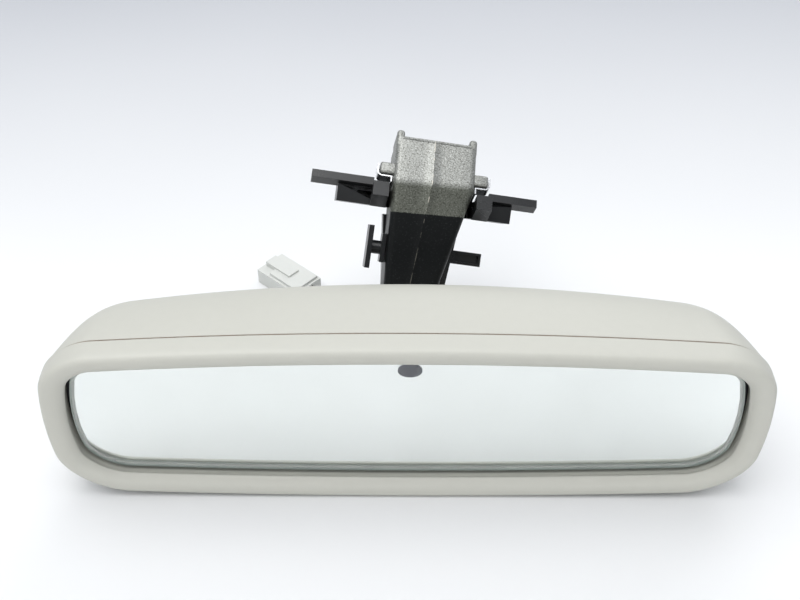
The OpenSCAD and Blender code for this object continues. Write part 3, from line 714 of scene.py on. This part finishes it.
def beige_plastic():
    """Matt beige plastic, with painted brown shade in the thin gap where the two shells meet."""
    look = layered("beige_plastic", (0.505, 0.502, 0.452), 0.5, drift=0.035, drift_scale=22, grain=1900,
                   depth=0.00003, rough_swing=0.05)
    tree = look.tree
    depth = y_of(tree, look.place)
    near = ramp(tree, depth, (FRONT_Y + BEZEL_D - 0.1) * MM, (FRONT_Y + BEZEL_D + 0.05) * MM)
    far = ramp(tree, depth, (FRONT_Y + HOUSING_Y) * MM, (FRONT_Y + HOUSING_Y + 0.12) * MM, 1, 0)
    # Painted shade: the beige tongue in the thin gap between bezel and housing is coloured brown to stand in
    # for the shadow there
    gap_shade = calc(tree, "MULTIPLY", near, far)
    fill(tree, look.shader, {"Base Color": mix_colour(tree, gap_shade, look.tone, (0.34, 0.24, 0.18, 1))})
    return look.material


# Colours of the cast arm
ALLOY = (0.32, 0.325, 0.305)
ALLOY_DARK = (0.17, 0.168, 0.155, 1)
ALLOY_BRIGHT = (0.50, 0.51, 0.49, 1)
# Painted shade for the bare arm under the bend, which faces less towards the overhead light than the foot
SHADE_BELOW_BEND = (0.42, 0.43, 0.39, 1)
PAINT = (0.006, 0.0068, 0.007, 1)
PAINT_SPECK = (0.02, 0.021, 0.022, 1)
RIDGE_BARE = (0.62, 0.58, 0.50, 1)
RIDGE_PAINTED = (0.10, 0.095, 0.08, 1)


def casting_ridge(tree, place, up, root):
    """Mask of the thin, broken ridge that slants up the arm's front. The value up is the height along the
    arm, and root is that height at the stud."""
    middle = float(ARM_AT @ ARM_TURN[:, 0]) * MM
    slanted = ramp(tree, up, root, root + ARM_LEN * MM, RIDGE_X[0] * MM, RIDGE_X[1] * MM)
    off = calc(tree, "SUBTRACT", reach_along(tree, place, ARM_TURN[:, 0]), slanted)
    off = calc(tree, "ABSOLUTE", calc(tree, "SUBTRACT", off, middle))
    near = ramp(tree, off, 0.00005, 0.00022, 1, 0)
    broken = ramp(tree, noise(tree, place, 420.0), 0.47, 0.60)
    return calc(tree, "MULTIPLY", near, broken)


def cast_metal():
    """Bare die-cast alloy with dark and bright specks and a casting ridge, darkened below the bend by
    painted shade. Below a ragged, slanting line it is painted satin black."""
    look = layered("cast_metal", ALLOY, 0.5, drift=0.25, drift_scale=90, depth=0.0001,
                   rough_swing=0.06)
    tree, place = look.tree, look.place
    speck = noise(tree, place, 1900.0)
    bright = ramp(tree, speck, 0.60, 0.70)
    bare = mix_colour(tree, ramp(tree, speck, 0.34, 0.48, 1, 0), look.tone, ALLOY_DARK)
    bare = mix_colour(tree, bright, bare, ALLOY_BRIGHT)
    slant = ARM_TURN[:, 2] - PAINT_SLANT * ARM_TURN[:, 0]
    up = reach_along(tree, place, slant)
    root = float(ARM_AT @ slant) * MM
    # Painted shade: the bare arm under the bend is darkened, while the foot above it keeps its lit tone
    shade_below_bend = ramp(tree, up, root + (ARM_LEN - 2) * MM, root + (ARM_LEN + 0.5) * MM, 1, 0)
    bare = mix_colour(tree, shade_below_bend, bare, SHADE_BELOW_BEND, "MULTIPLY")
    ragged = calc(tree, "MULTIPLY", speck, 0.0006)
    line = root + PAINT_Z * MM
    painted = ramp(tree, calc(tree, "ADD", up, ragged), line, line + 0.0004, 1, 0)
    paint = mix_colour(tree, bright, PAINT, PAINT_SPECK)
    ridge_colour = mix_colour(tree, painted, RIDGE_BARE, RIDGE_PAINTED)
    surface = mix_colour(tree, casting_ridge(tree, place, up, root), mix_colour(tree, painted, bare, paint),
                         ridge_colour)
    fill(tree, look.shader, {"Base Color": surface, "Metallic": ramp(tree, painted, 0, 1, 0.75, 0),
                             "Roughness": ramp(tree, painted, 0, 1, 0.46, 0.34)})
    look.shader.inputs["Specular IOR Level"].default_value = 0.16
    fill(tree, look.bump, {"Strength": ramp(tree, painted, 0, 1, 0.75, 0.12)})
    return look.material


def clear_glass(name, colour, rough=0.0):
    """Clear glass with the faintest haze of handling."""
    material, tree, shader, place = new_material(name)
    haze = noise(tree, place, 60.0, 4.0)
    tint = mix_colour(tree, ramp(tree, haze, 0.3, 0.7), (*colour, 1), tuple(0.99 * c for c in colour) + (1,))
    fill(tree, shader, {"Base Color": tint, "Roughness": ramp(tree, haze, 0.45, 0.8, rough, rough + 0.03)})
    shader.inputs["Transmission Weight"].default_value = 1.0
    shader.inputs["IOR"].default_value = 1.45
    return material


def reflector():
    """Silvered face of the rear pane: a mirror with a trace of green and hardly any haze."""
    material, tree, shader, place = new_material("mirror_silver")
    haze = noise(tree, place, 18.0, 5.0)
    tint = mix_colour(tree, ramp(tree, haze, 0.3, 0.7), (0.985, 0.99, 0.99, 1), (0.975, 0.985, 0.985, 1))
    fill(tree, shader, {"Base Color": tint, "Roughness": ramp(tree, haze, 0.4, 0.75, 0.005, 0.02)})
    shader.inputs["Metallic"].default_value = 1.0
    return material


def thin_gel():
    """The dimming gel while it is clear: almost nothing, with a little tint."""
    material, tree, shader, place = new_material("dimming_gel")
    haze = noise(tree, place, 25.0)
    tint = mix_colour(tree, haze, (0.55, 0.62, 0.58, 1), (0.62, 0.66, 0.60, 1))
    fill(tree, shader, {"Base Color": tint, "Alpha": ramp(tree, haze, 0.3, 0.7, 0.015, 0.025)})
    shader.inputs["Roughness"].default_value = 0.2
    shader.inputs["Specular IOR Level"].default_value = 0.0
    return material


# ---- Studio ----

# Name, place and size in metres, and power of each lamp. All of them look at the origin.
LIGHTS = [("key", (-0.25, -0.15, 1.3), (1.3, 1.3), 17.0), ("rim", (0.5, 1.1, 0.9), (1.2, 0.7), 5.0),
          ("fill", (0.0, -1.1, 0.22), (1.6, 0.35), 4.4)]


def add_floor():
    """A matt floor, eight metres wide, with painted shade that turns its pale tone grey from under the
    object to behind it.
    """
    mesh = bpy.data.meshes.new("floor")
    reach = 4
    mesh.from_pydata([(-reach, -reach, 0), (reach, -reach, 0), (reach, reach, 0), (-reach, reach, 0)], [],
                     [(0, 1, 2, 3)])
    floor = bpy.data.objects.new("floor", mesh)
    bpy.context.scene.collection.objects.link(floor)
    material, tree, shader, place = new_material("pale_floor")
    cloud = ramp(tree, noise(tree, place, 3.0), 0.3, 0.7, -0.02, 0.02)
    # Painted shade: the colour darkens to a bluish grey with y, behind the object, under a faint random
    # cloud
    shade_and_cloud = calc(tree, "ADD", cloud, y_of(tree, place))
    tint = mix_colour(tree, ramp(tree, shade_and_cloud, 0.07, 0.34), (0.775, 0.78, 0.785, 1), (0.50, 0.512, 0.54, 1))
    fill(tree, shader, {"Base Color": tint})
    shader.inputs["Roughness"].default_value = 0.6
    mesh.materials.append(material)


def add_air():
    """A pale, slightly blue surround, dimmer in front of the object than elsewhere."""
    world = bpy.data.worlds.new("studio_air")
    world.use_nodes = True
    air = world.node_tree
    aim = y_of(air, add(air, "ShaderNodeTexCoord").outputs["Generated"])
    fill(air, air.nodes["Background"], {0: (0.90, 0.94, 1.0, 1), 1: ramp(air, aim, -0.9, -0.3, 0.14, 0.56)})
    bpy.context.scene.world = world


def add_lights():
    """A wide soft light overhead, one behind the object and a low, long one in front."""
    for name, place, size, power in LIGHTS:
        light = bpy.data.lights.new(name, "AREA")
        light.shape = "RECTANGLE"
        light.size, light.size_y = size
        light.energy = power
        lamp = bpy.data.objects.new(name, light)
        lamp.location = place
        lamp.rotation_euler = (-Vector(place)).to_track_quat("-Z", "Y").to_euler()
        bpy.context.scene.collection.objects.link(lamp)


# ---- Assembly ----

add_camera()

route = smooth_route(LEAD_ROUTE)
lead = lead_tube(route)
plug = eased_copy("plug_body", "connector_housing", 0.35)

BEIGE = beige_plastic()
BLACK = finish("black_plastic", (0.011, 0.0118, 0.0125), 0.30, drift=0.3, grain=2200, depth=0.00002)
EDGE = finish("ground_edge", (0.60, 0.66, 0.62), 0.55, drift=0.1, grain=4000, depth=0.00001)

# New piece, body, the node it stands for, its slot and its finish
PIECES = [
    (bezel(), "head", "front_bezel", "housing_beige", BEIGE),
    (housing(), "head", "rear_housing", "housing_beige", BEIGE),
    (pane("front_pane", RIM_W + 0.9, GLASS_Y, GLASS_Y + GLASS_T - HAIR, 0.45), "head", "front_glass", "pane",
     clear_glass("front_glass", (0.985, 1.0, 0.99))),
    (pane("mirror_pane", RIM_W + 1.1, MIRROR_Y + HAIR, MIRROR_Y + GLASS_T, 0.2), "head", "rear_mirror_glass",
     "reflector", reflector()),
    (mount_casting(), "mount", "mount_arm", "casting", cast_metal()),
    (eased_copy("cross_bar", "wing_bracket", 0.4), "mount", "wing_bracket", "black_plastic", BLACK),
    (eased_copy("back_cover", "cable_cover", 0.4), "mount", "cable_cover", "black_plastic", BLACK),
    (eased_copy("clip_plate", "cable_clip", 0.35), "mount", "cable_clip", "black_plastic", BLACK),
    (eased_copy("lug_spring", "retaining_spring", 0.12, 2), "mount", "retaining_spring", "spring_steel",
     finish("spring_steel", (0.78, 0.79, 0.80), 0.24, metallic=1.0, drift=0.1, grain=1200, depth=0.00001)),
    (lead, "head", "lead", "cable_sleeve",
     finish("cable_sleeve", (0.018, 0.018, 0.019), 0.5, drift=0.25, grain=3000, depth=0.00002)),
    (plug, "head", "connector_housing", "nylon_white",
     finish("nylon_white", (0.63, 0.64, 0.61), 0.42, drift=0.03, grain=1800, depth=0.00001)),
]
for piece, body, node, slot_name, material in PIECES:
    piece.data.materials.clear()
    piece.data.materials.append(material)
    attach(piece, body)
    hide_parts(node)
# The panes' faces are polished, and only their edges are ground.
for pane_name in ("front_pane", "mirror_pane"):
    grind(bpy.data.objects[pane_name], EDGE)

# Finishes of the CAD nodes that stay as they are
KEPT = {
    "gel_layer": thin_gel(),
    "perimeter_seal": finish("cell_seal", (0.68, 0.69, 0.66), 0.6, drift=0.1),
    "sensor_window": finish("window_filter", (0.045, 0.05, 0.075), 0.25, drift=0.2, drift_scale=200),
    "contact_clips": finish("clip_brass", (0.62, 0.48, 0.22), 0.3, metallic=1.0, drift=0.15),
    "foam_pad": finish("soft_foam", (0.05, 0.05, 0.052), 0.9, drift=0.3, grain=900, depth=0.0002),
    "glass_carrier": finish("carrier_plastic", (0.03, 0.03, 0.032), 0.55, drift=0.2),
    "circuit_board": finish("board_green", (0.02, 0.12, 0.05), 0.4, drift=0.25, drift_scale=120),
    "controller_chip": finish("chip_black", (0.02, 0.02, 0.022), 0.45, drift=0.2),
    "capacitors": finish("can_metal", (0.72, 0.73, 0.75), 0.3, metallic=1.0, drift=0.1),
    "light_pipe": clear_glass("clear_pipe", (0.93, 0.95, 0.97), 0.05),
    "board_header": finish("header_nylon", (0.72, 0.69, 0.58), 0.45, drift=0.06),
    "board_plug": finish("plug_nylon", (0.80, 0.79, 0.72), 0.45, drift=0.06),
    "socket_liner": finish("liner_nylon", (0.82, 0.81, 0.75), 0.35, drift=0.05),
    "ball_stud": finish("ball_steel", (0.62, 0.63, 0.64), 0.22, metallic=1.0, drift=0.12, grain=900),
    "lead_grommet": finish("black_rubber", (0.014, 0.014, 0.015), 0.6, drift=0.3, grain=1600),
    "connector_terminals": finish("terminal_tin", (0.72, 0.66, 0.45), 0.3, metallic=1.0, drift=0.15),
}
ZINC = finish("zinc_steel", (0.55, 0.56, 0.58), 0.32, metallic=1.0, drift=0.25, drift_scale=150, grain=900)
KEPT.update({node: ZINC for node in ["board_screws", "socket_plate", "socket_clamp", "clamp_washers",
                                     "socket_screws", "friction_ring", "stud_nut", "cover_screws"]})
KEPT["glare_sensor"] = KEPT["ambient_sensor"] = KEPT["controller_chip"]
KEPT["inner_lead"] = bpy.data.materials["cable_sleeve"]
for node, material in KEPT.items():
    for place in NODES[node].material_slots:
        place.link = "OBJECT"
        place.material = material

bpy.context.scene.view_settings.view_transform = "Standard"
add_floor()
add_air()
add_lights()
